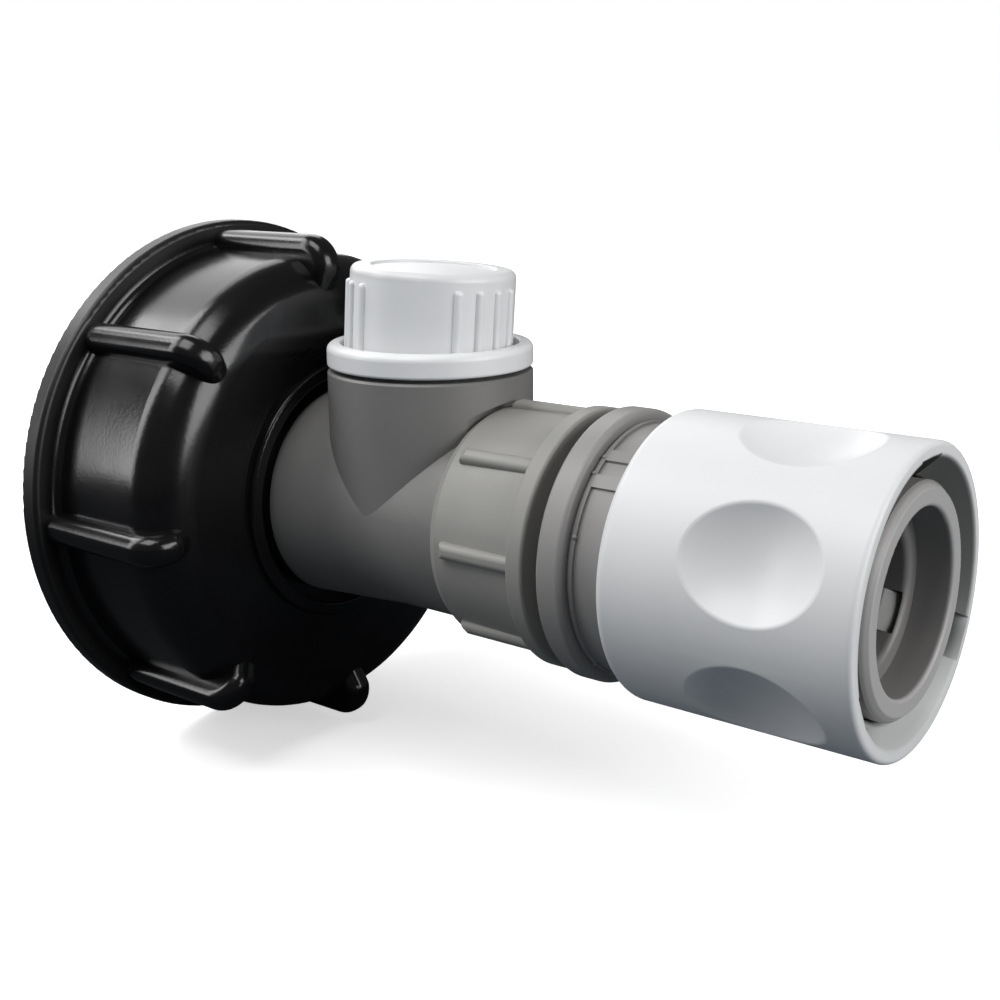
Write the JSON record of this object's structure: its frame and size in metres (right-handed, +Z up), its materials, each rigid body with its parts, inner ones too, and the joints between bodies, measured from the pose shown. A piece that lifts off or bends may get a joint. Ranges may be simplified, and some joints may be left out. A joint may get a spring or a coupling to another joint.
{
  "type": "intermediate bulk container valve",
  "caption": "Tank outlet valve: ribbed coarse-thread cap nut, tee body with quarter-turn knob, union nut and a sleeve-release hose coupling.",
  "frame": {"origin": "centre of the cap nut's tank-side mouth, on the axis of its thread", "axes": "+X along the flow from the tank to the hose socket, +Z up the control knob's axis, away from the stub"},
  "size_m": [0.1134, 0.077, 0.077],
  "materials": {
    "black_plastic": "glossy moulded polypropylene with satin faces",
    "black_rubber": "matt rubber",
    "body_grey": "semi-matt moulded plastic",
    "nut_grey": "semi-matt moulded plastic",
    "coupling_grey": "semi-matt moulded plastic",
    "white_plastic": "glossy white moulded plastic",
    "plug_white": "natural white acetal",
    "seal_white": "waxy white seal plastic",
    "spring_steel": "drawn stainless wire"
  },
  "bodies": {
    "valve": {"cap_nut": "black_plastic", "tank_gasket": "black_rubber", "inlet_washer": "black_rubber", "valve_body": "body_grey", "inlet_seat_seal": "seal_white", "outlet_seat_seal": "seal_white", "valve_bonnet": "white_plastic", "tail_clip": "plug_white"},
    "spindle": {"valve_plug": "plug_white", "lower_stem_seal": "black_rubber", "upper_stem_seal": "black_rubber", "control_knob": "white_plastic"},
    "coupling": {"union_nut": "nut_grey", "union_washer": "black_rubber", "coupling_body": "coupling_grey", "socket_seal": "black_rubber", "sleeve_spring": "spring_steel"},
    "sleeve": {"slide_sleeve": "white_plastic"},
    "claw_1": {"lock_claw_1": "plug_white"},
    "claw_2": {"lock_claw_2": "plug_white"},
    "claw_3": {"lock_claw_3": "plug_white"}
  },
  "joints": [
    {"name": "knob_turn", "type": "hinge", "parent": "valve", "child": "spindle", "pos_m": [0.0419, 0, 0], "axis": [0, 0, 1], "range_deg": [0, 90]},
    {"name": "coupling_swivel", "type": "hinge", "parent": "valve", "child": "coupling", "pos_m": [0.06, 0, 0], "axis": [1, 0, 0], "continuous": true},
    {"name": "sleeve_release", "type": "slide", "parent": "coupling", "child": "sleeve", "axis": [-1, 0, 0], "range_m": [0, 0.005], "stiffness_N_per_m": 700, "springref_m": -0.006, "deforming": ["sleeve_spring"]},
    {"name": "claw_1_lift", "type": "slide", "parent": "coupling", "child": "claw_1", "axis": [0, 0, 1], "range_m": [0, 0.00135]},
    {"name": "claw_2_lift", "type": "slide", "parent": "coupling", "child": "claw_2", "axis": [0, -0.866, -0.5], "range_m": [0, 0.00135]},
    {"name": "claw_3_lift", "type": "slide", "parent": "coupling", "child": "claw_3", "axis": [0, 0.866, -0.5], "range_m": [0, 0.00135]}
  ],
  "couplings": [
    {"joint": "claw_1_lift", "follows": "sleeve_release", "ratio": 0.27},
    {"joint": "claw_2_lift", "follows": "sleeve_release", "ratio": 0.27},
    {"joint": "claw_3_lift", "follows": "sleeve_release", "ratio": 0.27}
  ]
}
